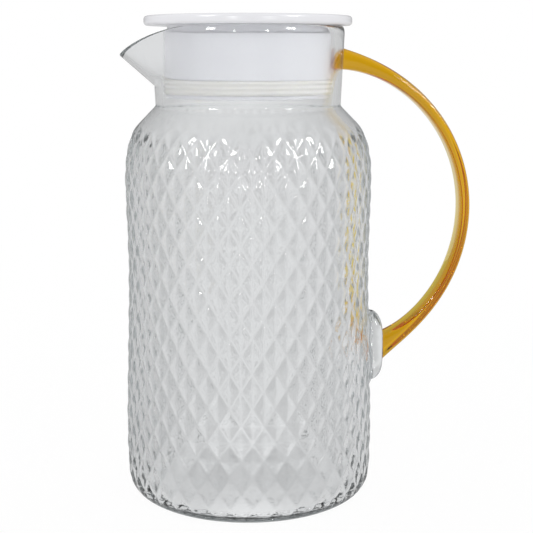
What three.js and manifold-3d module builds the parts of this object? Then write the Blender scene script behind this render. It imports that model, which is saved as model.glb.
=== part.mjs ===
// A clear acrylic water jug: a diamond-cut barrel on a welded base, an amber handle and a white plug lid.
// Millimetres, +Z up. The origin is on the jug's axis, in the plane that it stands on.
// The handle points along +X and the spout along -X.
import * as THREE from "three";
import { mergeVertices } from "three/addons/utils/BufferGeometryUtils.js";
import Module from "manifold-3d";

// Barrel outline, over the points of the diamonds, from the foot up to the plain shoulder
const footRadius = 63.7;
const hipSwell = 0.1; // out from the foot's radius
const footTuck = 0.65; // in from the foot's radius, as are the next four
const waistTuck = 2;
const chestTuck = 1.3;
const bendTuck = 2.5;
const cutTopTuck = 6.2;
const cutFootHeight = 7.4;
const heelRise = 6.6; // from the foot of the cut up to the barrel's full radius
const hipRise = 35;
const cutHeight = 179.6;
const chestDrop = 27;
const bendDrop = 11;
const waistPlace = 0.6; // share of the way from the hip up to the chest
const barrelWall = 3; // left under the cuts

// Diamond cut
const diamonds = 36; // round the barrel
const diamondRows = 21; // half diamonds, foot to shoulder
const cutDepth = 1.2;

// Base, a thick plate welded to the barrel's open foot
const seamHeight = 3;
const baseCornerWidth = 7.4; // the corner is a quarter of an ellipse
const baseCornerHeight = 12.4;
const weldGap = 0.3;
const landHeight = 1.5; // of the land that locates the plate in the bore, above the seam
const landClearance = 0.3;

// Neck and spout
const shoulderRise = 11.3;
const neckRadius = 46.4;
const neckFlare = 1.7;
const neckHeight = 39;
const neckWall = 4;
const rimRoundHeight = 4; // of the rim's outer edge, a quarter of an ellipse
const rimRoundWidth = 1.5;
const spoutDepth = 29; // from the rim down to where the beak leaves the neck
const spoutDrop = 13.8; // from the rim down to the tip
const spoutLean = 1.08; // how far out the beak goes for each millimetre up
const spoutNose = 5; // degrees, rounds the beak's keel
const spoutEdgeCurve = 2.2; // power of the rim's fall towards the tip

// Boss on the barrel that carries the handle's foot
const bossHeight = 36;
const bossWidth = 19;
const bossProud = 6.4;
const bossCorner = 7.3;
const bossCentre = 74;
const bossEndRound = 8; // run of the face's rounded edge at the boss's top and foot
const bossSideRound = 2; // and at its sides
const bossRoundDepth = 5.6;

// Handle
const handleStandoff = 46.5; // foot's radius out to the middle of the grip
const handleTopDrop = 15.7; // rim down to the middle of the upper root
const handleFootDrop = 1; // boss's middle down to the middle of the lower root
const handleRootDepth = 3; // from the boss's face in to the end of the handle's path
const handleBowDrop = 1.5; // from the middle height of the roots down to the furthest point
const gripThickness = 5.4;
const gripWidth = 14.6;
const upperRootThickness = 10.8;
const lowerRootThickness = 13.8;
const upperRootTaper = 20;
const lowerRootTaper = 12.5;
const gripSquareness = 4; // power of the superellipse section
const bondGap = 0.3;

// Lid
const lidOverhang = 3.5; // past the neck's rim
const lidThickness = 4.6;
const lidEdgeRound = 1.5;
const lidCrown = 0.8;
const lidSeatGap = 0.3;
const plugDepth = 35;
const plugWall = 3.4;
const plugClearance = 1.2;
const plugFlange = 1.9; // below the groove
const recessHeight = 3.9; // of the recess round the plug, under the disc
const recessDepth = 2;
const grooveHeight = 6.9;
const grooveDepth = 1.6;

// Seal ring
const sealClearance = 0.3;
const sealLips = 3;
const sealLipProud = 0.9;
const sealLipFlat = 0.3; // share of a lip's height that lies at its full reach

// Fineness of the meshes
const turnSegments = 48;
const columnCrowding = 0.45; // of the neck's columns, towards the spout and the handle
const shoulderCrowding = 0.25; // share of that crowding on the shoulder
const rootCrowding = 0.5; // and at the neck's root
const outlineSamples = 400;
const spoutRows = 5;
const hollowRows = 8;
const rimSteps = 3;
const edgeSteps = 5;
const discSteps = 3;
const bossSteps = 3;
const crownSteps = 2;
const handleSteps = 26;
const sectionPoints = 14;
const overrun = 1; // of a cut past the face that it opens

const wasm = await Module();
wasm.setup();

const degrees = THREE.MathUtils.degToRad;

function material(color, roughness, opacity = 1) {
  const transparent = opacity < 1;
  return new THREE.MeshStandardMaterial({ color, roughness, metalness: 0, opacity, transparent });
}

function solid(geometry) {
  const bare = geometry.clone().deleteAttribute("normal").deleteAttribute("uv");
  const merged = mergeVertices(bare, 1e-3);
  const vertProperties = merged.attributes.position.array;
  const triVerts = new Uint32Array(merged.index.array);
  return new wasm.Manifold(new wasm.Mesh({ numProp: 3, vertProperties, triVerts }));
}

function geometryOf(body) {
  const mesh = body.getMesh();
  const geometry = new THREE.BufferGeometry();
  geometry.setAttribute("position", new THREE.BufferAttribute(mesh.vertProperties, 3));
  geometry.setIndex(new THREE.BufferAttribute(mesh.triVerts, 1));
  return geometry;
}

// A closed skin over a stack of rings with equal numbers of points, each ring counter-clockwise about the
// way that the stack runs. splitsFalling(row, column) picks the diagonal of a cell, and each end gets a fan.
function skin(rings, splitsFalling = () => false) {
  const count = rings[0].length;
  const positions = rings.flat().flatMap((point) => point.toArray());
  const index = [];
  const at = (row, column) => row * count + (column % count);
  for (let row = 0; row < rings.length - 1; row += 1) {
    for (let column = 0; column < count; column += 1) {
      const [a, b] = [at(row, column), at(row, column + 1)];
      const [c, d] = [at(row + 1, column), at(row + 1, column + 1)];
      if (splitsFalling(row, column)) index.push(a, b, c, b, d, c);
      else index.push(a, b, d, a, d, c);
    }
  }
  [0, rings.length - 1].forEach((row) => {
    const centre = new THREE.Vector3();
    rings[row].forEach((point) => centre.addScaledVector(point, 1 / count));
    const hub = positions.length / 3;
    positions.push(...centre.toArray());
    for (let column = 0; column < count; column += 1) {
      const [a, b] = [at(row, column), at(row, column + 1)];
      if (row === 0) index.push(hub, b, a);
      else index.push(hub, a, b);
    }
  });
  const geometry = new THREE.BufferGeometry();
  geometry.setAttribute("position", new THREE.Float32BufferAttribute(positions, 3));
  return geometry.setIndex(index);
}

// A solid of revolution about +Z from a profile of (radius, height) points
function revolve(points) {
  return new THREE.LatheGeometry(points, turnSegments).rotateX(Math.PI / 2);
}

const flat = (radius, height) => new THREE.Vector2(radius, height);
const polar = (radius, angle, height) =>
  new THREE.Vector3(radius * Math.cos(angle), radius * Math.sin(angle), height);

// Points of a quarter or part of a circle, both ends included
function arc(centre, radius, fromDegrees, toDegrees, steps) {
  return Array.from({ length: steps + 1 }, (_, i) => {
    const angle = degrees(THREE.MathUtils.lerp(fromDegrees, toDegrees, i / steps));
    return flat(centre.x + radius * Math.cos(angle), centre.y + radius * Math.sin(angle));
  });
}

// Radii and heights that follow from the foot and from the stack of barrel, shoulder and neck
const cutTopRadius = footRadius - cutTopTuck;
const cutTopHeight = cutFootHeight + cutHeight;
const neckRootHeight = cutTopHeight + shoulderRise;
const rimHeight = neckRootHeight + neckHeight;
const spoutRoot = rimHeight - spoutDepth;
const hipHeight = cutFootHeight + hipRise;
const chestHeight = cutTopHeight - chestDrop;
const outline = new THREE.SplineCurve([
  flat(footRadius - footTuck, cutFootHeight),
  flat(footRadius, cutFootHeight + heelRise),
  flat(footRadius + hipSwell, hipHeight),
  flat(footRadius - waistTuck, THREE.MathUtils.lerp(hipHeight, chestHeight, waistPlace)),
  flat(footRadius - chestTuck, chestHeight),
  flat(footRadius - bendTuck, cutTopHeight - bendDrop),
  flat(cutTopRadius, cutTopHeight),
]);
outline.arcLengthDivisions = outlineSamples;

// The outline's point at a share of its length, moved in along its normal by a depth
function outlinePoint(share, depth) {
  const point = outline.getPointAt(share);
  const along = outline.getTangentAt(share);
  return flat(point.x - depth * along.y, point.y + depth * along.x);
}

// The plain shoulder is a cone from the top of the cut to the neck: its point at a radius, sunk in by a depth
const shoulderSlope = shoulderRise / (cutTopRadius - neckRadius);
function shoulderPoint(radius, depth) {
  const sink = depth * Math.hypot(1, shoulderSlope);
  return flat(radius, neckRootHeight + (neckRadius - radius) * shoulderSlope - sink);
}

const barrelRadiusAt = (height) => {
  const samples = outline.getSpacedPoints(outlineSamples);
  const above = samples.findIndex((point) => point.y >= height);
  return samples[Math.max(above, 0)].x;
};
const neckRadiusAt = (height) => neckRadius + (neckFlare * (height - neckRootHeight)) / neckHeight;
const baseEdgeAt = (height) => {
  const below = Math.max(0, 1 - height / baseCornerHeight);
  return footRadius - baseCornerWidth * (1 - Math.sqrt(1 - below ** 2));
};

// The neck's plan at a height is a circle with two tangents that meet in the beak's rounded keel.
// It is set in from the outside by inset.
function neckPoint(angle, height, inset) {
  const circle = neckRadiusAt(height) - inset;
  const climb = Math.max(0, height - spoutRoot);
  const keel = circle * (1 + (spoutLean * climb) / neckRadius);
  const nose = degrees(spoutNose);
  const spread = nose + Math.acos(circle / keel);
  const fromKeel = Math.hypot(angle - Math.PI, nose);
  return flat(circle / Math.cos(Math.max(0, spread - fromKeel)), height);
}

// The rim falls from its full height to the spout's tip over the spread of the beak
function rimAt(angle) {
  const nose = degrees(spoutNose);
  const spread = nose + Math.acos(neckRadius / (neckRadius + spoutLean * spoutDepth));
  const share = Math.max(0, 1 - (Math.hypot(angle - Math.PI, nose) - nose) / spread);
  return rimHeight - spoutDrop * share ** spoutEdgeCurve;
}

// A ring of points about the axis, each column's (radius, height) given by placeOf.
// gather, from 0 to 1, crowds the columns towards the spout and the handle.
function ring(columns, gather, placeOf) {
  return Array.from({ length: columns }, (_, column) => {
    const even = (2 * Math.PI * column) / columns;
    const angle = even - (gather * columnCrowding * Math.sin(2 * even)) / 2;
    const place = placeOf(angle, column);
    return polar(place.x, angle, place.y);
  });
}

// Rings up the neck, from its root through the spout's root to the height that topOf gives
function neckRings(columns, root, topOf, inset) {
  const rows = Array.from({ length: spoutRows + 1 }, (_, row) => {
    const heightOf = (angle) => THREE.MathUtils.lerp(spoutRoot, topOf(angle), row / spoutRows);
    return ring(columns, 1, (angle) => neckPoint(angle, heightOf(angle), inset));
  });
  return [ring(columns, rootCrowding, (angle) => neckPoint(angle, root, inset)), ...rows];
}

// Barrel, shoulder, neck and spout under one skin, filled. Each row of the cut alternates between the tip
// of a diamond and the corner of a cut. grow makes it larger all round.
function jugOutside(grow = 0) {
  const columns = 2 * diamonds;
  const isTip = (row, column) => ((row + column) & 1) === 1;
  const cutRing = (row) =>
    ring(columns, 0, (_, column) =>
      outlinePoint(row / diamondRows, (isTip(row, column) ? 0 : cutDepth) - grow),
    );
  const plainRing = (gather, point) => ring(columns, gather, () => flat(point.x + grow, point.y));
  const neckRing = (heightOf, inset) =>
    ring(columns, 1, (angle) => neckPoint(angle, heightOf(angle), inset - grow));
  const edge = (angle) => rimAt(angle) - rimRoundHeight;
  const rounding = arc(flat(0, 0), 1, 0, 90, rimSteps).slice(1);
  const rings = [
    plainRing(0, flat(baseEdgeAt(seamHeight), seamHeight)),
    ...Array.from({ length: diamondRows + 1 }, (_, row) => cutRing(row)),
    plainRing(shoulderCrowding, shoulderPoint((cutTopRadius + neckRadius) / 2, 0)),
    ...neckRings(columns, neckRootHeight, edge, -grow),
    ...rounding.map((point) =>
      neckRing((angle) => edge(angle) + rimRoundHeight * point.y, rimRoundWidth * (1 - point.x)),
    ),
    neckRing(rimAt, neckWall + overrun),
  ];
  return solid(skin(rings, (row, column) => isTip(row - 1, column)));
}

// The hollow, from below the open foot up through the neck
function jugHollow() {
  const depth = cutDepth + barrelWall;
  const wall = Array.from({ length: hollowRows + 1 }, (_, row) =>
    outlinePoint(1 - (1 - row / hollowRows) ** 2, depth),
  );
  const throat = shoulderPoint(neckRadius - neckWall, depth).y;
  const rings = [
    ...[flat(wall[0].x, seamHeight - overrun), ...wall].map((point) => ring(turnSegments, 0, () => point)),
    ...neckRings(turnSegments, throat, (angle) => rimAt(angle) + overrun, neckWall),
  ];
  return solid(skin(rings));
}

// The boss is a rounded block with a flat outer face, whose edge is a quarter of an ellipse
const bossFace = barrelRadiusAt(bossCentre) + bossProud;

function boss() {
  const bossRing = (x, drawnIn) => {
    const w = bossWidth / 2 - drawnIn * bossSideRound;
    const h = bossHeight / 2 - drawnIn * bossEndRound;
    const r = bossCorner - drawnIn * bossSideRound;
    const shape = new THREE.Shape();
    shape.absarc(w - r, h - r, r, 0, Math.PI / 2);
    shape.absarc(r - w, h - r, r, Math.PI / 2, Math.PI);
    shape.absarc(r - w, r - h, r, Math.PI, 1.5 * Math.PI);
    shape.absarc(w - r, r - h, r, 1.5 * Math.PI, 2 * Math.PI);
    return shape.getPoints(bossSteps).map((point) => new THREE.Vector3(x, point.x, bossCentre + point.y));
  };
  const root = barrelRadiusAt(bossCentre) - cutDepth - barrelWall / 2;
  const inWall = root - Math.sqrt(Math.max(0, root ** 2 - (bossWidth / 2) ** 2));
  const edge = arc(flat(0, 0), 1, 0, 90, bossSteps);
  return solid(skin([
    bossRing(root - inWall, 0),
    ...edge.map((point) => bossRing(bossFace - bossRoundDepth * (1 - point.y), 1 - point.x)),
  ]));
}

function jugBody() {
  return geometryOf(jugOutside().add(boss()).subtract(jugHollow()));
}

// Base plate with a rounded edge and a land that locates in the barrel's bore
function basePlate() {
  const top = seamHeight - weldGap;
  const landRadius = outlinePoint(0, cutDepth + barrelWall).x - landClearance;
  const edge = Array.from({ length: edgeSteps + 1 }, (_, step) => top * (step / edgeSteps) ** 2);
  return revolve([
    flat(0, 0),
    ...edge.map((height) => flat(baseEdgeAt(height), height)),
    flat(landRadius, top),
    flat(landRadius, seamHeight + landHeight),
    flat(0, seamHeight + landHeight),
  ]);
}

// Handle: a soft rectangular bar along two arcs that meet upright at its furthest point, thickening to its roots
function handle() {
  const upper = flat(0, rimHeight - handleTopDrop);
  upper.x = neckRadiusAt(upper.y) - neckWall / 2;
  const lower = flat(bossFace - handleRootDepth, bossCentre - handleFootDrop);
  const middle = (upper.y + lower.y) / 2 - handleBowDrop;
  const handleReach = footRadius + handleStandoff;
  const path = new THREE.Path();
  const radiusTo = (root) => {
    const out = handleReach - root.x;
    return (out ** 2 + (root.y - middle) ** 2) / (2 * out);
  };
  const [upperRadius, lowerRadius] = [radiusTo(upper), radiusTo(lower)];
  const upperCentre = handleReach - upperRadius;
  const lowerCentre = handleReach - lowerRadius;
  const upperAngle = Math.atan2(upper.y - middle, upper.x - upperCentre);
  const lowerAngle = Math.atan2(lower.y - middle, lower.x - lowerCentre);
  path.absarc(upperCentre, middle, upperRadius, upperAngle, 0, true);
  path.absarc(lowerCentre, middle, lowerRadius, 0, lowerAngle, true);
  const length = path.getLength();
  const swell = (root, taper, distance) => (root - gripThickness) * Math.exp(-distance / taper);
  const squarish = (value) => Math.sign(value) * Math.abs(value) ** (2 / gripSquareness);
  const rings = Array.from({ length: handleSteps + 1 }, (_, step) => {
    const share = step / handleSteps;
    const [point, along] = [path.getPointAt(share), path.getTangentAt(share)];
    const thickness =
      gripThickness +
      swell(upperRootThickness, upperRootTaper, share * length) +
      swell(lowerRootThickness, lowerRootTaper, (1 - share) * length);
    return Array.from({ length: sectionPoints }, (_, i) => {
      const turn = ((i + 0.5) * 2 * Math.PI) / sectionPoints;
      const out = (thickness / 2) * squarish(Math.cos(turn));
      const side = (-gripWidth / 2) * squarish(Math.sin(turn));
      return new THREE.Vector3(point.x - out * along.y, side, point.y + out * along.x);
    });
  });
  const bossSide = 2 * bossHeight;
  const seat = new THREE.BoxGeometry(bossSide, bossSide, bossSide);
  seat.translate(bossFace + bondGap - bossSide / 2, 0, bossCentre);
  return geometryOf(solid(skin(rings)).subtract(jugOutside(bondGap)).subtract(solid(seat)));
}

// Lid: a crowned disc with a soft edge on a hollow plug, grooved for the seal and recessed under the disc
const lidSeat = rimHeight + lidSeatGap;
const plugFoot = lidSeat - plugDepth;
const grooveFoot = plugFoot + plugFlange;
const plugRadius = neckRadius - neckWall - plugClearance;

function lid() {
  const discRadius = neckRadius + neckFlare + lidOverhang;
  const grooveRadius = plugRadius - grooveDepth;
  const boreRadius = plugRadius - plugWall;
  const recessRadius = plugRadius - recessDepth;
  const edgeCentre = (height) => flat(discRadius - lidEdgeRound, height);
  const crown = Array.from({ length: crownSteps }, (_, step) => {
    const share = 1 - (step + 1) / crownSteps;
    return flat(share * discRadius, lidSeat + lidThickness + lidCrown * (1 - share ** 2));
  });
  return revolve([
    flat(0, lidSeat),
    flat(boreRadius, lidSeat),
    flat(boreRadius, plugFoot),
    flat(plugRadius, plugFoot),
    flat(plugRadius, grooveFoot),
    flat(grooveRadius, grooveFoot),
    flat(grooveRadius, grooveFoot + grooveHeight),
    flat(plugRadius, grooveFoot + grooveHeight),
    flat(plugRadius, lidSeat - recessHeight),
    flat(recessRadius, lidSeat - recessHeight),
    flat(recessRadius, lidSeat),
    ...arc(edgeCentre(lidSeat + lidEdgeRound), lidEdgeRound, -90, 0, discSteps),
    ...arc(edgeCentre(lidSeat + lidThickness - lidEdgeRound), lidEdgeRound, 0, 90, discSteps),
    ...crown,
  ]);
}

// Seal ring: a band in the plug's groove with round lips towards the neck
function sealRing() {
  const foot = grooveFoot + sealClearance;
  const height = grooveHeight - 2 * sealClearance;
  const inner = plugRadius - grooveDepth + sealClearance;
  const outer = neckRadiusAt(foot) - neckWall - sealClearance;
  const pitch = height / sealLips;
  const lips = Array.from({ length: sealLips }, (_, i) => [
    flat(outer - sealLipProud, foot + i * pitch),
    flat(outer, foot + (i + (1 - sealLipFlat) / 2) * pitch),
    flat(outer, foot + (i + (1 + sealLipFlat) / 2) * pitch),
  ]).flat();
  const top = foot + height;
  return revolve([flat(inner, foot), ...lips, flat(outer - sealLipProud, top), flat(inner, top), flat(inner, foot)]);
}

const jug = new THREE.Group();

function place(name, geometry, finish) {
  const mesh = new THREE.Mesh(geometry, finish);
  mesh.name = name;
  jug.add(mesh);
}

place("jug_body", jugBody(), material(0xe3e7e8, 0.04, 0.35));
place("base_plate", basePlate(), material(0xe3e7e8, 0.04, 0.35));
place("handle", handle(), material(0xd98a12, 0.06, 0.75));
place("lid", lid(), material(0xeceef2, 0.35));
place("seal_ring", sealRing(), material(0xe2e0da, 0.5, 0.8));

export default jug;
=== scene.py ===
import math

import bpy
import numpy as np
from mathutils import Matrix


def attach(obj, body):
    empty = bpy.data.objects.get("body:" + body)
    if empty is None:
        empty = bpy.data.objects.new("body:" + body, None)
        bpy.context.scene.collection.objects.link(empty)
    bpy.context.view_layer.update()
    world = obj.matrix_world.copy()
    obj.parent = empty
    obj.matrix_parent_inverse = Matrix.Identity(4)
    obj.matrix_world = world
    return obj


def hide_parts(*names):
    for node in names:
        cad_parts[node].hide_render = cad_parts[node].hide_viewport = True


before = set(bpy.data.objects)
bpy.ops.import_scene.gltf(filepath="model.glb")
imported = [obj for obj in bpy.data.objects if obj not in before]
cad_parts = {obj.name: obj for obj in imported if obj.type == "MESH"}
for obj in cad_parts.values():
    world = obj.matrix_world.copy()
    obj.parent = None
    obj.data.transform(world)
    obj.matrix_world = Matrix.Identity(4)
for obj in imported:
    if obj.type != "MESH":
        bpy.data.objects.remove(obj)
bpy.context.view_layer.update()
scene = bpy.context.scene
mm = 0.001
print("frame:", sorted(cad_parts))


# Camera: stands a little towards the spout, looks down on the barrel
camera = {
    "place": (-0.0152, -0.5821, 0.2247),
    "pitch": 10.58,  # degrees down
    "heading": 2.4,  # degrees from +Y towards the handle
    "focalPixels": 1147.65,
    "framePixels": 533,
    "sensor": 36,
    "nearest": 0.01,
}


def standCamera(c):
    eye = bpy.data.cameras.new("camera")
    eye.sensor_width = c["sensor"]
    eye.lens = c["sensor"] * c["focalPixels"] / c["framePixels"]
    eye.clip_start = c["nearest"]
    stand = bpy.data.objects.new("camera", eye)
    stand.location = c["place"]
    stand.rotation_euler = (math.radians(90 - c["pitch"]), 0, math.radians(-c["heading"]))
    scene.collection.objects.link(stand)
    scene.camera = stand


standCamera(camera)


# Mesh helpers, all on whole arrays
def gridTriangles(index, falling=None):
    # two triangles for each cell of a grid of vertex numbers; falling picks the other diagonal
    a, b = index[:-1, :-1], index[:-1, 1:]
    c, d = index[1:, :-1], index[1:, 1:]
    rising = np.stack([np.stack([a, b, d], -1), np.stack([a, d, c], -1)], -2)
    if falling is None:
        return rising.reshape(-1, 3)
    other = np.stack([np.stack([a, b, c], -1), np.stack([b, d, c], -1)], -2)
    return np.where(falling[..., None, None], other, rising).reshape(-1, 3)


def wrapColumns(index):
    return np.concatenate([index, index[:, :1]], 1)


def fanTriangles(loop, hub):
    ahead = np.roll(loop, -1)
    return np.stack([loop, ahead, np.full_like(loop, hub)], -1)


def putMesh(name, points, triangles):
    mesh = bpy.data.meshes.new(name)
    count = len(triangles)
    mesh.vertices.add(len(points))
    mesh.vertices.foreach_set("co", np.ascontiguousarray(points, np.float32).ravel())
    mesh.loops.add(3 * count)
    mesh.loops.foreach_set("vertex_index", np.ascontiguousarray(triangles, np.int32).ravel())
    mesh.polygons.add(count)
    mesh.polygons.foreach_set("loop_start", np.arange(0, 3 * count, 3, dtype=np.int32))
    mesh.polygons.foreach_set("use_smooth", np.ones(count, bool))
    mesh.update(calc_edges=True)
    mesh.validate()
    piece = bpy.data.objects.new(name, mesh)
    scene.collection.objects.link(piece)
    return piece


def turned(profile, columns, closed):
    # profile (radius, height) turned about the axis: a closed one meets itself, an open one ends in two
    # poles on the axis
    radius, height = np.asarray(profile, float).T
    angle = np.linspace(0, 2 * np.pi, columns, endpoint=False)
    rows = slice(None) if closed else slice(1, -1)
    r, z = radius[rows, None], height[rows, None]
    points = np.stack([r * np.cos(angle), r * np.sin(angle), z + 0 * angle], -1).reshape(-1, 3)
    index = np.arange(len(points)).reshape(-1, columns)
    if closed:
        return points, gridTriangles(wrapColumns(np.concatenate([index, index[:1]])))
    hub = len(points)
    points = np.concatenate([points, [[0, 0, height[0]], [0, 0, height[-1]]]])
    ends = [fanTriangles(index[0][::-1], hub), fanTriangles(index[-1], hub + 1)]
    return points, np.concatenate([gridTriangles(wrapColumns(index)), *ends])


def softCorners(corners, steps=5, hold=0.25):
    # corners (radius, height, round) joined by straight lines, each corner turned into an arc that starts
    # and ends tangent to its lines, with a point held close before and after it
    table = np.asarray(corners, float)
    out = []
    for k, (r, z, bend) in enumerate(table):
        here = np.array([r, z])
        if bend == 0:
            out.append(here[None])
            continue
        back = table[k - 1, :2] - here
        on = table[(k + 1) % len(table), :2] - here
        back, on = back / np.linalg.norm(back), on / np.linalg.norm(on)
        half = math.acos(np.clip(back @ on, -1, 1)) / 2
        reach = bend / math.tan(half)
        centre = here + (back + on) / np.linalg.norm(back + on) * bend / math.sin(half)
        first, last = here + reach * back - centre, here + reach * on - centre
        share = np.linspace(0, 1, steps + 1)[:, None]
        sweep = math.pi - 2 * half
        arc = (np.sin((1 - share) * sweep) * first + np.sin(share * sweep) * last) / math.sin(sweep)
        keep = reach + hold * bend
        out.append(np.concatenate([[here + keep * back], centre + arc, [here + keep * on]]))
    return np.concatenate(out)


# Jug: one closed skin, up the outside, over the rim and down the inside
jug = {
    # radius and height, from the lowest cuts to the knee under the shoulder
    "outline": [
        (63.05, 7.4), (63.7, 14), (63.8, 42.4), (61.7, 112.96), (62.4, 160), (61.2, 176), (57.5, 187),
    ],
    "diamonds": 36,
    "halfRows": 21,
    "cutDepth": 1.2,
    "grain": 6,  # cells along a half diamond
    "valleyRound": 0.14,  # share of the half diamond that the cut's floor rounds over
    "ridgeRound": 0.08,
    "facetCrown": 1.9,  # power that bows the facets
    "cutFade": (-10, 5),  # lengths past the cut's top between which it runs out
    "wall": 3,  # under the cuts
    "footRadius": 63.7,
    "footCorner": (7.4, 12.4),  # width and height of the elliptical corner
    "footRows": 6,
    "footFade": 6,  # length in which the cuts run out down the corner
    "seam": 3,
    "seamEdge": 0.1,  # rows stay this close to the seam's corners
    "innerFoot": 4.5,
    "innerFootGap": 1.6,  # from the corner's top up to the inner barrel's lowest row
    "innerRows": (22, 1.5),  # of the inner barrel: count, and power that crowds them upwards
    "innerCornerRows": 9,
    "kneeEase": 6,  # reach of the average that eases the bend from the barrel to the shoulder
    "kneeSpan": (3, 1.6),  # how many reaches below and above the bend it eases
    "shoulderRows": (0.7, 1.4, 2.1, 2.8, 3.5, 4.2, 5, 6.5, 8.5),  # lengths past the cut's top
    "neckRoot": (46.4, 198.3),
    "neckRootRound": 2.0,
    "neckFlare": 1.7,
    "neckHeight": 39,
    "neckWall": 4,
    "neckRows": 11,
    "throatRound": 5,
    "throatGap": 7,  # from the neck's root down the cone to the inner shoulder's first row
    "rimRound": (1.5, 4),  # width and height of the rim's elliptical outer edge
    "beakRound": (0.4, 1),  # the same along the beak
    "beakThinning": 2.6,  # off the wall at the beak's rim
    "beakOnset": 4,  # the rim has the beak's section where the beak's share times this is 1 or more
    "rimSteps": 9,
    "boreRound": 0.5,
    "boreSteps": 4,
    "boreRows": (0.01, 0.1, 0.25, 0.4, 0.55, 0.7, 0.85, 1),  # shares of the way to the spout's root
    "spoutDepth": 29,
    "spoutDrop": 13.8,
    "spoutLean": 1.08,
    "spoutNose": 5,  # degrees
    "spoutCurve": 2.2,  # power by which the rim falls to the tip
    "bossFace": 69.2,
    "bossCentre": 74,
    "bossHalf": (9.5, 18),
    "bossCorner": 7.3,
    "bossRound": (2, 8),  # run of the face's rounded edge at the sides, and at the top and foot
    "bossRoundDepth": 5.6,
    "bossRoundSteps": 6,
    "bossFillet": 2.5,
    "bossFilletSteps": 4,
    "bossMargin": 1.5,  # from the fillet to the cells that are cleared for the boss
    "bossApproach": (0.25, 0.5, 0.75, 0.94, 1),  # shares of the way from those cells to the fillet
    "bossFaceRings": (0.96, 0.7, 0.35),
}
rimHeight = jug["neckRoot"][1] + jug["neckHeight"]
spoutRoot = rimHeight - jug["spoutDepth"]


def throughPoints(points, samples=2400):
    # uniform Catmull-Rom curve through the points with its ends doubled, resampled to even length
    knots = np.asarray(points, float)
    at = np.linspace(0, len(knots) - 1, samples)
    k = np.minimum(at.astype(int), len(knots) - 2)
    t = (at - k)[:, None]
    p0, p1 = knots[np.maximum(k - 1, 0)], knots[k]
    p2, p3 = knots[k + 1], knots[np.minimum(k + 2, len(knots) - 1)]
    v0, v1 = (p2 - p0) / 2, (p3 - p1) / 2
    curve = (2 * p1 - 2 * p2 + v0 + v1) * t**3 + (3 * p2 - 3 * p1 - 2 * v0 - v1) * t**2 + v0 * t + p1
    length = np.concatenate([[0], np.cumsum(np.linalg.norm(np.diff(curve, axis=0), axis=1))])
    even = np.linspace(0, length[-1], samples)
    return np.stack([np.interp(even, length, curve[:, 0]), np.interp(even, length, curve[:, 1])], -1)


def withShoulder(barrel):
    # the barrel's curve carried on up the shoulder's cone in steps of equal length; a running average with
    # cosine weights eases the bend between them
    step = np.linalg.norm(barrel[1] - barrel[0])
    climb = np.array(jug["neckRoot"]) - barrel[-1]
    slant = np.linalg.norm(climb)
    cone = barrel[-1] + climb / slant * step * np.arange(1, int(slant / step))[:, None]
    whole = np.concatenate([barrel, cone])
    reach = int(jug["kneeEase"] / step)
    weight = np.hanning(2 * reach + 1)
    smooth = np.stack([np.convolve(column, weight / weight.sum(), "same") for column in whole.T], -1)
    below, above = jug["kneeSpan"]
    knee = slice(len(barrel) - below * reach, len(barrel) + int(above * reach))
    inKnee = np.arange(knee.stop - knee.start)
    share = np.clip(np.minimum(inKnee, inKnee[::-1]) / reach, 0, 1)[:, None]
    whole[knee] += share * (smooth[knee] - whole[knee])
    return whole


barrelCurve = throughPoints(jug["outline"])
barrelLength = np.sum(np.linalg.norm(np.diff(barrelCurve, axis=0), axis=1))
outline = withShoulder(barrelCurve)
outlineShare = np.arange(len(outline)) / (len(barrelCurve) - 1)
along = np.gradient(outline, axis=0)
outlineNormal = np.stack([along[:, 1], -along[:, 0]], -1) / np.linalg.norm(along, axis=1)[:, None]


def outlineAt(share, depth):
    # point of the outline at a share of the barrel's length, sunk by depth along its normal
    take = [np.interp(share, outlineShare, column) for column in (*outline.T, *outlineNormal.T)]
    return take[0] - depth * take[2], take[1] - depth * take[3]


def diamondDepth(row, column):
    # 0 on a diamond's tip, 1 in the cut: the larger of the two distances to the nearest odd diagonals,
    # with ridges rounded by a soft maximum, the cut's floor by a parabola and the facets bowed by a power
    first = np.abs((row + column) % 2 - 1)
    second = np.abs((row - column) % 2 - 1)
    soft = (first + second + np.sqrt((first - second) ** 2 + jug["ridgeRound"] ** 2)) / 2
    rounding = jug["valleyRound"]
    over = np.clip(soft - (1 - rounding), 0, None)
    return (soft - over**2 / (2 * rounding)) ** jug["facetCrown"]


def neckRadius(z):
    # a cone that widens evenly from the root to the rim
    root, flare, height = jug["neckRoot"], jug["neckFlare"], jug["neckHeight"]
    return root[0] + flare * (z - root[1]) / height


def beakBend(inset):
    # height at which the keel leaves the neck: higher further in, so that the wall stays even
    return spoutRoot + inset * math.tan(math.atan(jug["spoutLean"]) / 2)


def neckAt(angle, z, inset):
    # plan of the neck: a circle and two tangents that meet in the beak's rounded keel
    circle = neckRadius(z) - inset
    keel = circle * (1 + jug["spoutLean"] * np.maximum(0, z - beakBend(inset)) / jug["neckRoot"][0])
    nose = math.radians(jug["spoutNose"])
    spread = nose + np.arccos(circle / keel)
    return circle / np.cos(np.maximum(0, spread - np.hypot(angle - np.pi, nose)))


def beakShare(angle):
    # 0 round the neck, rising to 1 at the spout's tip
    nose = math.radians(jug["spoutNose"])
    root = jug["neckRoot"][0]
    spread = nose + math.acos(root / (root + jug["spoutLean"] * jug["spoutDepth"]))
    return np.maximum(0, 1 - (np.hypot(angle - np.pi, nose) - nose) / spread)


def rimAt(angle):
    # the rim falls to the tip by a power of the beak's share
    return rimHeight - jug["spoutDrop"] * beakShare(angle) ** jug["spoutCurve"]


def quarterTurn(steps):
    return np.radians(np.linspace(0, 90, steps + 1))


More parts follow.
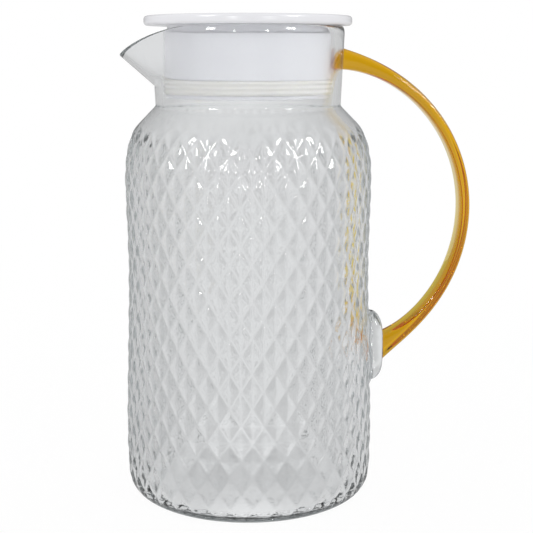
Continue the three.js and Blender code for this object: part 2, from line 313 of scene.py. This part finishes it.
def roundedBox(direction, half, corner, halvings=40):
    # distance from the middle of a rounded rectangle to its edge in each direction, by bisection
    low, high = np.zeros_like(direction), np.full_like(direction, 2 * sum(half))
    for _ in range(halvings):
        middle = (low + high) / 2
        qy = np.abs(middle * np.cos(direction)) - half[0] + corner
        qz = np.abs(middle * np.sin(direction)) - half[1] + corner
        past = np.hypot(np.maximum(qy, 0), np.maximum(qz, 0)) + np.minimum(np.maximum(qy, qz), 0)
        outside = past > corner
        low, high = np.where(outside, low, middle), np.where(outside, middle, high)
    return (low + high) / 2


def barrelSurface(angle, z):
    # radius of the cut barrel at an angle and a height
    share = np.interp(z, outline[:, 1], outlineShare)
    row = share * jug["halfRows"]
    column = angle / (2 * np.pi) * 2 * jug["diamonds"]
    return outlineAt(share, jug["cutDepth"] * diamondDepth(row, column))[0]


def jugRows(angle, column):
    # radius and height of every row, from the seam up the outside and down the inside, and the number of
    # the first cut row
    halfRows, cutDepth, neckWall = jug["halfRows"], jug["cutDepth"], jug["neckWall"]
    halfRow = barrelLength / halfRows
    rows = []

    def add(r, z):
        rows.append(np.broadcast_arrays(np.asarray(r, float), np.asarray(z, float) + 0 * angle))

    # foot, from the seam up the elliptical corner to the first cut row; the cuts fade in
    footRadius, footHeight = jug["footRadius"], jug["outline"][0][1]
    cornerWidth, cornerHeight = jug["footCorner"]
    for z in np.linspace(jug["seam"], footHeight, jug["footRows"], endpoint=False):
        below = footHeight - z
        plain = footRadius - cornerWidth * (1 - math.sqrt(1 - (1 - z / cornerHeight) ** 2))
        depth = diamondDepth(-below / halfRow, column) - below / jug["footFade"]
        add(plain - cutDepth * np.maximum(0, depth), z)
    # cut barrel, and the shoulder's cone, where the cuts run out by a smooth step
    cutStart = len(rows)
    fadeStart, fadeEnd = jug["cutFade"]
    barrelRows = np.arange(halfRows * jug["grain"] + 1) / jug["grain"]
    coneRows = [halfRows + way / halfRow for way in jug["shoulderRows"]]
    for row in (*barrelRows, *coneRows):
        past = np.clip(((row - halfRows) * halfRow - fadeStart) / (fadeEnd - fadeStart), 0, 1)
        left = 1 - past**2 * (3 - 2 * past)
        add(*outlineAt(row / halfRows, left * cutDepth * diamondDepth(row, column)))
    top, root = np.array(jug["outline"][-1]), np.array(jug["neckRoot"])
    neckTop = (neckRadius(spoutRoot), spoutRoot)
    for r, z in softCorners([(*top, 0), (*root, jug["neckRootRound"]), (*neckTop, 0)])[1:-1]:
        add(r, z)
    # neck and beak
    toBeak = np.clip(jug["beakOnset"] * beakShare(angle), 0, 1)
    roundWidth, roundHeight = (
        at + toBeak * (tip - at) for at, tip in zip(jug["rimRound"], jug["beakRound"])
    )
    rim = rimAt(angle)
    edge = rim - roundHeight
    for share in np.linspace(0, 1, jug["neckRows"]):
        z = spoutRoot + share * (edge - spoutRoot)
        add(neckAt(angle, z, 0), z)
    # rim: a quarter of an ellipse outside, flat on top, a quarter round into the bore
    for turn in quarterTurn(jug["rimSteps"])[1:]:
        z = edge + roundHeight * math.sin(turn)
        add(neckAt(angle, z, roundWidth * (1 - math.cos(turn))), z)
    soft, thin = jug["boreRound"], jug["beakThinning"] * toBeak
    for turn in quarterTurn(jug["boreSteps"]):
        z = rim - soft * (1 - math.cos(turn))
        add(neckAt(angle, z, neckWall - thin - soft * (1 - math.sin(turn))), z)
    bore = rim - soft
    for share in jug["boreRows"]:
        z = bore + share * (spoutRoot - bore)
        add(neckAt(angle, z, neckWall - thin * (1 - share)), z)
    # throat, inner shoulder and inner barrel, at the wall's thickness under the cuts
    sunk = cutDepth + jug["wall"]
    slope = (root[1] - top[1]) / (top[0] - root[0])
    throat = root[0] - neckWall
    throatHeight = root[1] + (root[0] - throat) * slope - sunk * math.hypot(1, slope)
    boreTop = (neckRadius(spoutRoot) - neckWall, spoutRoot)
    highest = 1 + (np.linalg.norm(root - top) - jug["throatGap"]) / barrelLength
    lowest = (cornerHeight + jug["innerFootGap"] - footHeight) / barrelLength
    count, crowding = jug["innerRows"]
    shares = highest + (lowest - highest) * np.linspace(0, 1, count) ** crowding
    inner = np.stack(outlineAt(shares, sunk), -1)
    throatBend = [(*boreTop, 0), (throat, throatHeight, jug["throatRound"]), (*inner[0], 0)]
    for r, z in (*softCorners(throatBend)[1:-1], *inner):
        add(r, z)
    # inner corner: the outer corner's ellipse drawn in by the wall, and then the seam
    for z in np.linspace(cornerHeight, jug["innerFoot"], jug["innerCornerRows"]):
        fall = 1 - math.sqrt(1 - ((cornerHeight - z) / (cornerHeight - sunk)) ** 2)
        add(footRadius - sunk - (cornerWidth - sunk) * fall, z)
    seamInside, seamOutside = rows[-1][0][0], rows[0][0][0]
    add(seamInside, jug["seam"] + jug["seamEdge"])
    add(seamInside, jug["seam"])
    add(seamOutside - jug["seamEdge"], jug["seam"])
    r, z = (np.stack(part) for part in zip(*rows))
    return r, z, cutStart


def bossRings(start):
    # rings from the edge of the cleared cells to the boss's fillet, up it, round the face's elliptical edge
    # and in over the flat face, and the face's middle
    half, face, centre = np.array(jug["bossHalf"]), jug["bossFace"], jug["bossCentre"]
    roundDepth, fillet = jug["bossRoundDepth"], jug["bossFillet"]
    offset = np.stack([start[:, 1], start[:, 2] - centre], -1)
    direction = np.arctan2(offset[:, 1], offset[:, 0])
    startReach = np.linalg.norm(offset, axis=1)
    way = np.stack([np.cos(direction), np.sin(direction)], -1)

    def onBarrel(distance):
        # the angle from the foot's radius first, then from the radius that it gives
        y, up = (distance[:, None] * way).T
        up = up + centre
        radius = barrelSurface(np.arcsin(y / jug["footRadius"]) % (2 * np.pi), up)
        radius = barrelSurface(np.arcsin(y / radius) % (2 * np.pi), up)
        return np.stack([np.sqrt(radius**2 - y**2), y, up], -1)

    def bossReach(drawnIn):
        run = np.array(jug["bossRound"])
        return roundedBox(direction, half - drawnIn * run, jug["bossCorner"] - drawnIn * run[0])

    def raised(distance, x):
        y, up = (distance[:, None] * way).T
        return np.stack([x + 0 * y, y, up + centre], -1)

    outer = bossReach(0)
    toFillet = outer + fillet - startReach
    rings = [onBarrel(startReach + share * toFillet) for share in jug["bossApproach"]]
    wallFoot = onBarrel(outer)[:, 0]
    for turn in quarterTurn(jug["bossFilletSteps"])[1:]:
        lift = np.minimum(wallFoot + fillet * (1 - math.cos(turn)), face - roundDepth)
        rings.append(raised(outer + fillet * (1 - math.sin(turn)), lift))
    for turn in quarterTurn(jug["bossRoundSteps"]):
        rings.append(raised(bossReach(1 - math.cos(turn)), face - roundDepth * (1 - math.sin(turn))))
    flatEdge, middle = rings[-1], np.array([face, 0, centre])
    rings += [middle + share * (flatEdge - middle) for share in jug["bossFaceRings"]]
    return rings, middle


def jugSkin():
    # the rows joined into a closed skin, with the boss in place of a block of its cells
    grain, halfRows = jug["grain"], jug["halfRows"]
    columns = 2 * jug["diamonds"] * grain
    angle = np.linspace(0, 2 * np.pi, columns, endpoint=False)
    r, z, cutStart = jugRows(angle, np.arange(columns) / grain)
    cutEnd = cutStart + halfRows * grain
    points = np.stack([r * np.cos(angle), r * np.sin(angle), z], -1).reshape(-1, 3)
    index = np.arange(len(points)).reshape(-1, columns)
    loop = np.concatenate([index, index[:1]])
    # on the barrel the diagonal of each cell follows the cuts
    cell = np.arange(len(loop) - 1)
    onCut = (cell >= cutStart) & (cell < cutEnd)
    parity = (cell - cutStart)[:, None] // grain + np.arange(columns) // grain
    falling = onCut[:, None] & (parity % 2 == 1)

    # cells cleared for the boss, and the loop of vertices round them
    halfWidth, halfHeight = jug["bossHalf"]
    margin = jug["bossFillet"] + jug["bossMargin"]
    reach = int(np.ceil(math.asin((halfWidth + margin) / jug["footRadius"]) / (2 * np.pi) * columns))
    cutZ = z[cutStart:cutEnd, 0]
    low = np.searchsorted(cutZ, jug["bossCentre"] - halfHeight - margin) + cutStart - 1
    high = np.searchsorted(cutZ, jug["bossCentre"] + halfHeight + margin) + cutStart
    keep = np.ones((len(cell), columns), bool)
    keep[low:high, np.arange(-reach, reach) % columns] = False
    side = np.arange(-reach, reach + 1) % columns
    blockEdge = np.concatenate([
        index[low, side],
        index[low + 1:high + 1, side[-1]],
        index[high, side[::-1]][1:],
        index[low + 1:high, side[0]][::-1],
    ])
    rings, middle = bossRings(points[blockEdge])
    ringIndex = len(points) + np.arange(len(rings) * len(blockEdge)).reshape(len(rings), -1)
    hub = len(points) + ringIndex.size
    cells = gridTriangles(wrapColumns(loop), falling).reshape(len(cell), columns, 2, 3)
    triangles = np.concatenate([
        cells[keep].reshape(-1, 3),
        gridTriangles(wrapColumns(np.concatenate([blockEdge[None], ringIndex]))),
        fanTriangles(ringIndex[-1], hub),
    ])
    return np.concatenate([points, *rings, middle[None]]) * mm, triangles


jugPiece = putMesh("jug", *jugSkin())
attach(jugPiece, "jug")
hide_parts("jug_body")
print("jug:", len(jugPiece.data.polygons), "triangles")


# Base: a plate with a rounded edge and a land inside the barrel, fused to it at the seam
base = {
    "radius": jug["footRadius"],
    "corner": jug["footCorner"],
    "top": 3.02,
    "land": (57.18, 4.5),  # radius and top
    "edgeRows": 9,
    "seamEdge": 0.1,  # a row stays this close to the seam's outer corner
    "cornerHold": 0.3,  # and one this close to the corners of the flat faces
    "columns": 216,
}


def baseSkin():
    # profile from the underside's middle out, up the elliptical corner to the seam, in to the land and
    # over it
    width, height = base["corner"]
    top, hold = base["top"], base["cornerHold"]
    z = top * np.linspace(0, 1, base["edgeRows"]) ** 2
    edge = base["radius"] - width * (1 - np.sqrt(1 - (1 - z / height) ** 2))
    land, landTop = base["land"]
    inside = [
        (edge[-1] - base["seamEdge"], top), (land, top),
        (land, landTop), (land - hold, landTop), (0, landTop),
    ]
    return np.concatenate([[(0, 0), (edge[0] - hold, 0)], np.stack([edge, z], -1), inside])


basePoints, baseTriangles = turned(baseSkin(), base["columns"], False)
basePiece = putMesh("base", basePoints * mm, baseTriangles)
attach(basePiece, "jug")
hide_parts("base_plate")
print("base:", len(basePiece.data.polygons), "triangles")


# Handle: a soft rectangular bar on two arcs that meet upright at the furthest point
handle = {
    "reach": 110.2,
    "topDrop": 15.7,
    "footDrop": 1,
    "footSink": 3,  # the path ends this far behind the boss's face
    "bowDrop": 1.5,  # from the middle height of the roots down to the furthest point
    "thickness": 5.4,
    "width": 14.6,
    "rootThickness": (10.8, 13.8),
    "rootTaper": (20, 12.5),
    "squareness": 4,  # power of the section's superellipse
    "bond": -0.04,  # the roots are fused to the neck and the boss
    "steps": 400,
    "around": 96,
    "rootCrowding": 0.36,  # share by which the steps are shorter at the roots
    "rootSamples": 1200,
    "capRings": (0.92, 0.6, 0.3),  # sizes of the rings that close each root
}


def handlePath():
    # centre, radius and end angle of both arcs, and the length of each
    upperZ = rimHeight - handle["topDrop"]
    upper = np.array([neckRadius(upperZ) - jug["neckWall"] / 2, upperZ])
    lower = np.array([jug["bossFace"] - handle["footSink"], jug["bossCentre"] - handle["footDrop"]])
    middle = (upper[1] + lower[1]) / 2 - handle["bowDrop"]
    ends = np.stack([upper, lower])
    out = handle["reach"] - ends[:, 0]
    radius = (out**2 + (ends[:, 1] - middle) ** 2) / (2 * out)
    centre = handle["reach"] - radius
    angle = np.arctan2(ends[:, 1] - middle, ends[:, 0] - centre)
    return centre, radius, angle, middle, np.abs(angle) * radius


pathCentre, pathRadius, pathAngle, pathMiddle, pathLengths = handlePath()


def handleAt(distance, turn, size):
    # point at a distance along the bar, turned about its section, at a share of the section's size:
    # the section is a superellipse, and its thickness swells by an exponential near each root
    lower = (distance > pathLengths[0]).astype(int)
    upperAngle = pathAngle[0] - distance / pathRadius[0]
    lowerAngle = (pathLengths[0] - distance) / pathRadius[1]
    angle = np.where(lower == 1, lowerAngle, upperAngle)
    centre, radius = pathCentre[lower], pathRadius[lower]
    fromRoots = np.stack([distance, pathLengths.sum() - distance])
    swell = [(root - handle["thickness"]) * np.exp(-away / taper)
             for root, taper, away in zip(handle["rootThickness"], handle["rootTaper"], fromRoots)]
    thickness = handle["thickness"] + sum(swell)
    power = 2 / handle["squareness"]
    outward = size * thickness / 2 * np.sign(np.cos(turn)) * np.abs(np.cos(turn)) ** power
    sideways = -size * handle["width"] / 2 * np.sign(np.sin(turn)) * np.abs(np.sin(turn)) ** power
    away = radius + outward
    place = (centre + away * np.cos(angle), sideways, pathMiddle + away * np.sin(angle))
    return np.stack(np.broadcast_arrays(*place), -1)


def handleSkin():
    # lines along the bar from the neck to the boss, closed at each root by smaller rings
    turn = np.linspace(0, 2 * np.pi, handle["around"], endpoint=False)

    def rootsOf(size):
        # distances at which each line along the bar leaves the neck and meets the boss
        dense = np.linspace(0, pathLengths.sum(), handle["rootSamples"])
        run = handleAt(dense[:, None], turn[None], size)
        clearNeck = np.hypot(run[..., 0], run[..., 1]) > neckRadius(run[..., 2]) + handle["bond"]
        clearBoss = run[..., 0] > jug["bossFace"] + handle["bond"]
        leaves = dense[np.argmax(clearNeck, 0)]
        meets = dense[len(dense) - 1 - np.argmax(clearBoss[::-1], 0)]
        return leaves, meets

    leaves, meets = rootsOf(1)
    share = np.linspace(0, 1, handle["steps"])
    share = share - handle["rootCrowding"] * np.sin(2 * np.pi * share) / (2 * np.pi)
    body = handleAt(leaves + share[:, None] * (meets - leaves), turn[None], 1)
    caps = [[handleAt(ends, turn, size)[None] for ends in rootsOf(size)] for size in handle["capRings"]]
    neckCap, bossCap = zip(*caps)
    middles = [handleAt(ends[:1], turn[:1], 0.0) for ends in rootsOf(0.0)]
    points = np.concatenate([*neckCap[::-1], body, *bossCap]).reshape(-1, 3)
    index = np.arange(len(points)).reshape(-1, len(turn))
    hub = len(points)
    triangles = np.concatenate([
        gridTriangles(wrapColumns(index)),
        fanTriangles(index[0][::-1], hub),
        fanTriangles(index[-1], hub + 1),
    ])
    return np.concatenate([points, *middles]) * mm, triangles


handlePiece = putMesh("handle_bar", *handleSkin())
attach(handlePiece, "jug")
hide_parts("handle")
print("handle:", len(handlePiece.data.polygons), "triangles")


# Lid: a crowned disc with a soft edge on a hollow plug, grooved for the seal and recessed under the disc
lid = {
    "radius": 51.6,
    "thickness": 4.6,
    "crown": 0.8,
    "crownRows": 14,
    "seat": 237.6,
    "plugRadius": 41.2,
    "plugWall": 3.4,
    "plugFoot": 202.6,
    "groove": (204.5, 211.4, 1.6),  # foot, top, depth
    "grooveRound": 0.2,
    "recess": (233.7, 1.2),  # round the plug under the disc: foot, depth
    "recessRound": 0.6,
    "boreRound": 1.2,
    "soft": 0.4,
    "edgeRound": 1.5,
    "cornerSteps": 6,
    "columns": 216,
}


def lidSkin():
    # profile from the middle of the hollow, down the bore, up the plug, round the disc's edge and over the
    # crown, which is a parabola
    seat, disc, edge, soft = lid["seat"], lid["radius"], lid["edgeRound"], lid["soft"]
    top, plug, plugFoot = seat + lid["thickness"], lid["plugRadius"], lid["plugFoot"]
    bore = plug - lid["plugWall"]
    grooveFoot, grooveTop, grooveDepth = lid["groove"]
    recessFoot, recessDepth = lid["recess"]
    grooveFloor, recessFloor = plug - grooveDepth, plug - recessDepth
    grooveRound, recessRound = lid["grooveRound"], lid["recessRound"]
    plugPath = softCorners([
        (0, seat, 0),
        (bore, seat, lid["boreRound"]),
        (bore, plugFoot, soft),
        (plug, plugFoot, soft),
        (plug, grooveFoot, soft),
        (grooveFloor, grooveFoot, grooveRound),
        (grooveFloor, grooveTop, grooveRound),
        (plug, grooveTop, soft),
        (plug, recessFoot, recessRound),
        (recessFloor, recessFoot, recessRound),
        (recessFloor, seat, recessRound),
        (disc, seat, edge),
        (disc, top, edge),
        (0, top, 0),
    ], lid["cornerSteps"])[:-1]
    share = np.linspace(plugPath[-1][0] / disc, 0, lid["crownRows"])[1:]
    lift = lid["crown"] * np.maximum(0, 1 - share**2 / share[0] ** 2)
    return np.concatenate([plugPath, np.stack([share * disc, top + lift], -1)])


lidPoints, lidTriangles = turned(lidSkin(), lid["columns"], False)
lidPiece = putMesh("plug_lid", lidPoints * mm, lidTriangles)
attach(lidPiece, "lid")
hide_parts("lid")
print("lid:", len(lidPiece.data.polygons), "triangles")


# Seal: a band with three round lips
seal = {
    "inner": 39.9,
    "outer": 42.38,
    "foot": 204.56,
    "top": 211.34,
    "lips": 3,
    "lipRows": 20,
    "lipProud": 0.6,
    "columns": 216,
}


def sealSkin():
    # closed profile: a straight back, and a front that swells once for each lip by a squared sine
    foot, top = seal["foot"], seal["top"]
    share = np.linspace(0, 1, seal["lipRows"] * seal["lips"] + 1)
    swell = np.sin(np.pi * seal["lips"] * share) ** 2
    front = np.stack([seal["outer"] - seal["lipProud"] * (1 - swell), foot + share * (top - foot)], -1)
    return np.concatenate([front, [(seal["inner"], top), (seal["inner"], foot)]])


sealPoints, sealTriangles = turned(sealSkin(), seal["columns"], True)
sealPiece = putMesh("seal", sealPoints * mm, sealTriangles)
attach(sealPiece, "seal")
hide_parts("seal_ring")
print("seal:", len(sealPiece.data.polygons), "triangles")


# Node helpers: each makes one node and gives its result
def feed(link, socket, value):
    # a number is set on the socket, anything else is linked to it
    if isinstance(value, (int, float)):
        socket.default_value = value
    else:
        link(value, socket)


def mathNode(nodes, link, operation, *values):
    node = nodes.new("ShaderNodeMath")
    node.operation = operation
    for socket, value in zip(node.inputs, values):
        feed(link, socket, value)
    return node.outputs[0]


def rangeNode(nodes, link, value, source, target, smooth=False):
    node = nodes.new("ShaderNodeMapRange")
    node.interpolation_type = "SMOOTHSTEP" if smooth else "LINEAR"
    names = ("Value", "From Min", "From Max", "To Min", "To Max")
    for name, given in zip(names, (value, *source, *target)):
        feed(link, node.inputs[name], given)
    return node.outputs["Result"]


def mixNode(nodes, link, factor, first, second):
    node = nodes.new("ShaderNodeMix")
    for name, value in (("Factor", factor), ("A", first), ("B", second)):
        feed(link, node.inputs[name], value)
    return node.outputs["Result"]


# Finish shared by all the mouldings: faint flow ripples and a haze that varies over the surface
moulded = {
    "inputs": {"Ripple Scale": 60.0, "Ripple Top": 1.0, "Haze Scale": 25.0,
               "Smoothest": 0.02, "Roughest": 0.06},
    "detail": {"Ripple Scale": 2.0, "Haze Scale": 4.0},
    "rippleFade": 0.03,  # height in which the ripples run out below their top
    "hazeSpread": (0.3, 0.7),  # noise at the smoothest and at the roughest
}


def mouldedSkinGroup():
    # height: noise that runs out evenly towards the top; roughness: noise spread between the two limits
    group = bpy.data.node_groups.new("mouldedSkin", "ShaderNodeTree")
    for name, value in moulded["inputs"].items():
        socket = group.interface.new_socket(name, in_out="INPUT", socket_type="NodeSocketFloat")
        socket.default_value = value
    for name in ("Height", "Roughness"):
        group.interface.new_socket(name, in_out="OUTPUT", socket_type="NodeSocketFloat")
    nodes, link = group.nodes, group.links.new
    given, outlet = nodes.new("NodeGroupInput").outputs, nodes.new("NodeGroupOutput")
    place = nodes.new("ShaderNodeTexCoord").outputs["Object"]

    def noise(scale):
        node = nodes.new("ShaderNodeTexNoise")
        node.inputs["Detail"].default_value = moulded["detail"][scale]
        link(place, node.inputs["Vector"])
        link(given[scale], node.inputs["Scale"])
        return node.outputs["Fac"]

    split = nodes.new("ShaderNodeSeparateXYZ")
    link(place, split.inputs[0])
    above = mathNode(nodes, link, "SUBTRACT", split.outputs["Z"], given["Ripple Top"])
    fade = rangeNode(nodes, link, above, (-moulded["rippleFade"], 0.0), (1.0, 0.0))
    height = mathNode(nodes, link, "MULTIPLY", noise("Ripple Scale"), fade)
    limits = (given["Smoothest"], given["Roughest"])
    roughness = rangeNode(nodes, link, noise("Haze Scale"), moulded["hazeSpread"], limits)
    link(height, outlet.inputs["Height"])
    link(roughness, outlet.inputs["Roughness"])
    return group


mouldedSkin = mouldedSkinGroup()


def finish(name, settings):
    # a Principled shader whose roughness and bump come from the moulded skin
    made = bpy.data.materials.new(name)
    made.use_nodes = True
    nodes, link = made.node_tree.nodes, made.node_tree.links.new
    shader = nodes["Principled BSDF"]
    for socket, value in settings["shader"].items():
        shader.inputs[socket].default_value = value
    skin = nodes.new("ShaderNodeGroup")
    skin.node_tree = mouldedSkin
    for socket, value in settings["skin"].items():
        skin.inputs[socket].default_value = value
    bump = nodes.new("ShaderNodeBump")
    strength, distance = settings["bump"]
    bump.inputs["Strength"].default_value = strength
    bump.inputs["Distance"].default_value = distance
    link(skin.outputs["Height"], bump.inputs["Height"])
    link(bump.outputs["Normal"], shader.inputs["Normal"])
    link(skin.outputs["Roughness"], shader.inputs["Roughness"])
    if "absorbs" in settings:
        tint, density = settings["absorbs"]
        body = nodes.new("ShaderNodeVolumeAbsorption")
        body.inputs["Color"].default_value = (*tint, 1)
        body.inputs["Density"].default_value = density
        link(body.outputs["Volume"], nodes["Material Output"].inputs["Volume"])
    return made


# bump: strength and distance; absorbs: colour and density of the body
clearAcrylic = {
    "shader": {"Base Color": (0.985, 0.99, 0.995, 1), "Transmission Weight": 1.0, "IOR": 1.49},
    "skin": {"Ripple Scale": 300.0, "Ripple Top": 0.19, "Haze Scale": 30.0,
             "Smoothest": 0.045, "Roughest": 0.08},
    "bump": (0.8, 0.0002),
    "absorbs": ((0.82, 0.87, 0.88), 14.0),
}
amberAcrylic = {
    "shader": {"Base Color": (1.0, 0.98, 0.93, 1), "Transmission Weight": 1.0, "IOR": 1.49},
    "skin": {"Ripple Scale": 70.0, "Haze Scale": 30.0, "Smoothest": 0.02, "Roughest": 0.04},
    "bump": (0.05, 0.0002),
    "absorbs": ((0.976, 0.88, 0.0), 420.0),
}
whitePlastic = {
    "shader": {"Base Color": (0.80, 0.80, 0.83, 1), "IOR": 1.49},
    "skin": {"Ripple Scale": 900.0, "Haze Scale": 40.0, "Smoothest": 0.16, "Roughest": 0.26},
    "bump": (0.08, 0.0001),
}
silicone = {
    "shader": {"Base Color": (0.85, 0.84, 0.81, 1), "IOR": 1.41, "Subsurface Weight": 0.5,
               "Subsurface Radius": (0.004, 0.004, 0.0035), "Subsurface Scale": 0.5},
    "skin": {"Ripple Scale": 700.0, "Haze Scale": 60.0, "Smoothest": 0.4, "Roughest": 0.6},
    "bump": (0.1, 0.0001),
}
clearFinish = finish("clear_acrylic", clearAcrylic)
jugPiece.data.materials.append(clearFinish)
basePiece.data.materials.append(clearFinish)
handlePiece.data.materials.append(finish("amber_acrylic", amberAcrylic))
lidPiece.data.materials.append(finish("white_plastic", whitePlastic))
sealPiece.data.materials.append(finish("silicone", silicone))
print("finishes:", len(bpy.data.materials))


# Studio: white for the camera, greyer where the glass sees it, and lamps that show as highlights
studio = {
    "floorSize": 40.0,
    "floorDrop": 0.0002,  # below the base, so that the two don't share a plane
    "floorColor": 0.85,
    "shadowShow": 0.04,  # share of the lit floor, with the shadow, in what the camera sees near the jug
    "shadowReach": (0.12, 0.8),
    "skyLight": 1.09,
    "skyInside": (1.12, 0.7),  # for what lies behind the glass, which the sky and the glowing floor light, and what the handle's side adds
    # distance from the jug, and level there as the glass shows it: painted shade, dark right under the jug
    # and in a ring round it
    "paintedFloorShade": [(0.02, 0.43), (0.06, 0.74), (0.1, 0.61), (0.3, 0.63), (1.2, 0.67), (4.0, 0.6)],
    "sideFall": 0.05,  # painted shade: loss of level straight to the side
    "lane": (0.02, 0.24, 0.14),  # painted light, brighter behind and in front: sine of the turn from, to, level
    "handleGlow": (0.45, 0.95, 0.12),  # painted light on the handle's side: sine of the turn from, to, level
    "laneFoot": 0.12,  # nearer than this the lane keeps its width
    "glossSky": (0.16, 0.75),  # in front and behind, and at the sides, as the glass mirrors it
    "boxDistance": 1.0,
    "boxAim": 0.14,  # height that the lamps point at
    # turn from the front, lift, width, height, power; they show as highlights, the sky lights what is matt
    "boxes": {
        "softbox_left": (-46, 28, 0.16, 0.32, 4.6),
        "softbox_right": (50, 28, 0.17, 0.32, 4.9),
        "spot_left": (-17, 12, 0.05, 0.14, 0.8),
        "spot_right": (21, 12, 0.05, 0.14, 0.8),
    },
    "bounces": 32,
    "glossyBounces": 12,
}


def withLane(nodes, link, level, across):
    # painted light and shade as the glass sees them: brighter in the lane and on the handle's side, a
    # little lower straight to the sides
    aside = mathNode(nodes, link, "ABSOLUTE", across)
    low, high, more = studio["lane"]
    inLane = rangeNode(nodes, link, aside, (low, high), (more, 0.0), True)
    level = mathNode(nodes, link, "ADD", level, inLane)
    near, far, glow = studio["handleGlow"]
    byHandle = rangeNode(nodes, link, across, (near, far), (0.0, glow), True)
    level = mathNode(nodes, link, "ADD", level, byHandle)
    return mathNode(nodes, link, "MULTIPLY_ADD", aside, -studio["sideFall"], level)


def floorLevel(nodes, link, place):
    # painted light and shade on the floor as the glass sees it: straight pieces over the logarithm of the
    # distance, changed by the turn as the sky is
    split, length = nodes.new("ShaderNodeSeparateXYZ"), nodes.new("ShaderNodeVectorMath")
    length.operation = "LENGTH"
    link(place, split.inputs[0])
    link(place, length.inputs[0])
    away, across = length.outputs["Value"], split.outputs["X"]
    octave = mathNode(nodes, link, "LOGARITHM", away, 2.0)
    steps = studio["paintedFloorShade"]
    level = steps[0][1]
    for (near, nearLevel), (far, farLevel) in zip(steps, steps[1:]):
        span = (math.log2(near), math.log2(far))
        change = rangeNode(nodes, link, octave, span, (0.0, farLevel - nearLevel))
        level = mathNode(nodes, link, "ADD", level, change)
    wide = mathNode(nodes, link, "MAXIMUM", away, studio["laneFoot"])
    sideways = mathNode(nodes, link, "DIVIDE", across, wide)
    return away, withLane(nodes, link, level, sideways)


def rayKinds(nodes, link):
    # camera, mirrored and refracted rays, and the rays that light what lies behind the glass
    path = nodes.new("ShaderNodeLightPath")
    lights = mathNode(nodes, link, "MINIMUM", path.outputs["Diffuse Depth"], 1.0)
    looks = mathNode(nodes, link, "SUBTRACT", 1.0, lights)
    mirrored = mathNode(nodes, link, "MULTIPLY", path.outputs["Is Reflection Ray"], looks)
    refracted = mathNode(nodes, link, "MULTIPLY", path.outputs["Is Transmission Ray"], looks)
    inside = mathNode(nodes, link, "MULTIPLY", path.outputs["Is Transmission Ray"], lights)
    return path.outputs["Is Camera Ray"], mirrored, refracted, inside


def layFloor():
    size = studio["floorSize"] / 2
    corners = np.array([(-size, -size, 0), (size, -size, 0), (size, size, 0), (-size, size, 0)])
    floor = putMesh("floor", corners - (0, 0, studio["floorDrop"]), np.array([(0, 1, 2), (0, 2, 3)]))
    paint = bpy.data.materials.new("floor")
    paint.use_nodes = True
    nodes, link = paint.node_tree.nodes, paint.node_tree.links.new
    nodes.remove(nodes["Principled BSDF"])
    matt, glow, show = (nodes.new(kind) for kind in
                        ("ShaderNodeBsdfDiffuse", "ShaderNodeEmission", "ShaderNodeMixShader"))
    matt.inputs["Color"].default_value = (*[studio["floorColor"]] * 3, 1)
    # the glass sees the floor at these levels, the painted shade round the jug included
    away, grey = floorLevel(nodes, link, nodes.new("ShaderNodeTexCoord").outputs["Object"])
    onCamera, mirrored, refracted, inside = rayKinds(nodes, link)
    seenInGlass = mathNode(nodes, link, "MAXIMUM", mirrored, refracted)
    plain = rangeNode(nodes, link, away, studio["shadowReach"], (1 - studio["shadowShow"], 1.0), True)
    # painted light: what lies behind the glass is lit by the floor glowing at a fixed level
    level = mixNode(nodes, link, inside, grey, studio["skyInside"][0])
    link(mathNode(nodes, link, "MAXIMUM", onCamera, level), glow.inputs["Strength"])
    shown = mathNode(nodes, link, "MULTIPLY", onCamera, plain)
    glowing = mathNode(nodes, link, "MAXIMUM", seenInGlass, inside)
    link(mathNode(nodes, link, "MAXIMUM", shown, glowing), show.inputs["Fac"])
    link(matt.outputs[0], show.inputs[1])
    link(glow.outputs[0], show.inputs[2])
    link(show.outputs[0], nodes["Material Output"].inputs["Surface"])
    floor.data.materials.append(paint)


def hangSky():
    sky = bpy.data.worlds.new("studio")
    scene.world = sky
    sky.use_nodes = True
    nodes, link = sky.node_tree.nodes, sky.node_tree.links.new
    back = nodes["Background"]
    back.inputs["Color"].default_value = (1, 1, 1, 1)
    where, split = nodes.new("ShaderNodeTexCoord"), nodes.new("ShaderNodeSeparateXYZ")
    link(where.outputs["Generated"], split.inputs[0])
    turn = mathNode(nodes, link, "ARCTAN2", split.outputs["X"], split.outputs["Y"])
    onCamera, mirrored, refracted, inside = rayKinds(nodes, link)
    lighting = mathNode(nodes, link, "MULTIPLY_ADD", split.outputs["X"], *studio["skyInside"][::-1])
    level = mixNode(nodes, link, inside, studio["skyLight"], lighting)
    behind = withLane(nodes, link, studio["paintedFloorShade"][-1][1], split.outputs["X"])
    level = mixNode(nodes, link, refracted, level, behind)
    # cosine of twice the turn, between the two levels
    wave = mathNode(nodes, link, "COSINE", mathNode(nodes, link, "MULTIPLY", turn, 2.0))
    gloss = rangeNode(nodes, link, wave, (-1, 1), studio["glossSky"][::-1])
    level = mixNode(nodes, link, mirrored, level, gloss)
    link(mixNode(nodes, link, onCamera, level, 1.0), back.inputs["Strength"])


def hangSoftbox(name, azimuth, elevation, width, height, power):
    lamp = bpy.data.lights.new(name, "AREA")
    lamp.shape = "RECTANGLE"
    lamp.size, lamp.size_y, lamp.energy = width, height, power
    box = bpy.data.objects.new(name, lamp)
    box.visible_diffuse = box.visible_transmission = False
    turn, lift = math.radians(azimuth), math.radians(elevation)
    away = studio["boxDistance"]
    level = away * math.cos(lift)
    up = studio["boxAim"] + away * math.sin(lift)
    box.location = (level * math.sin(turn), -level * math.cos(turn), up)
    box.rotation_euler = (math.pi / 2 - lift, 0, turn)
    scene.collection.objects.link(box)


layFloor()
hangSky()
for name, placing in studio["boxes"].items():
    hangSoftbox(name, *placing)
scene.view_settings.view_transform = "Standard"
scene.cycles.max_bounces = studio["bounces"]
scene.cycles.transmission_bounces = studio["bounces"]
scene.cycles.glossy_bounces = studio["glossyBounces"]
print("studio ready")
